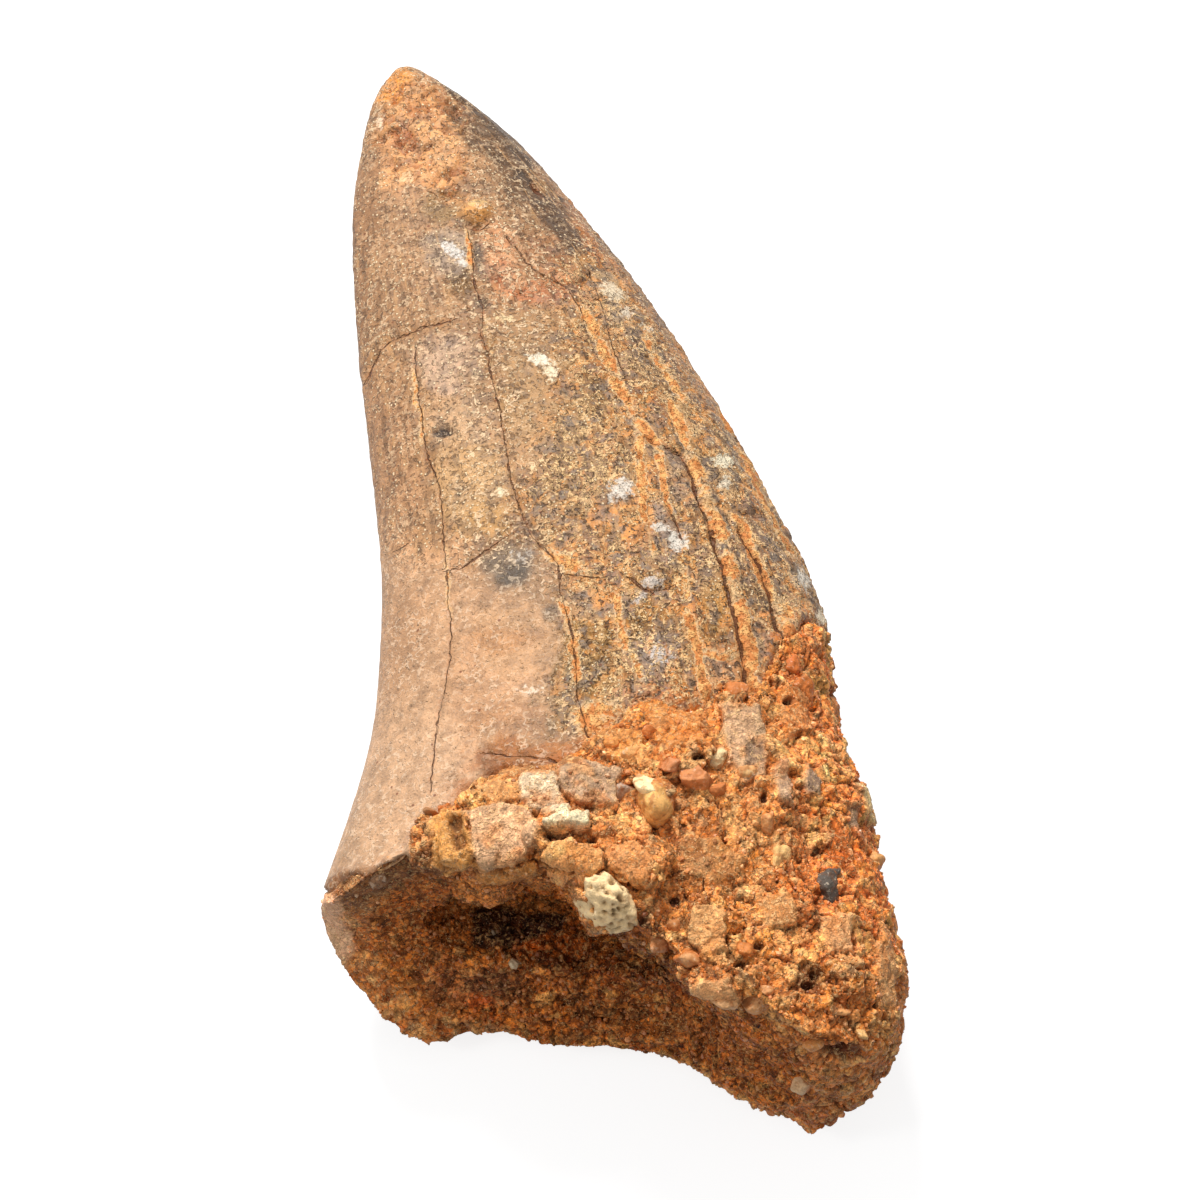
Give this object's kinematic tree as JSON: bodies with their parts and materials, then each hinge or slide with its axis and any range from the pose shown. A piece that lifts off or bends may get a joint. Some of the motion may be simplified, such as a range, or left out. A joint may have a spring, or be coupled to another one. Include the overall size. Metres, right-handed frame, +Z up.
{
  "type": "fossil theropod tooth",
  "caption": "Large flattened, backward-curving fossil dinosaur tooth with a broken hollow root and a crust of cemented sand and pebbles round its base.",
  "frame": {"origin": "bottom centre of the bounding box, on the surface that the tooth lies on", "axes": "+X across the blade towards its convex front edge, +Y along the tooth from the broken root to the tip, +Z up out of the surface, away from the side it lies on"},
  "size_m": [0.0412, 0.088, 0.0218],
  "materials": {
    "tooth_stone": "satin",
    "crust": "matte"
  },
  "bodies": {
    "root": {"tooth": "tooth_stone"}
  },
  "joints": []
}
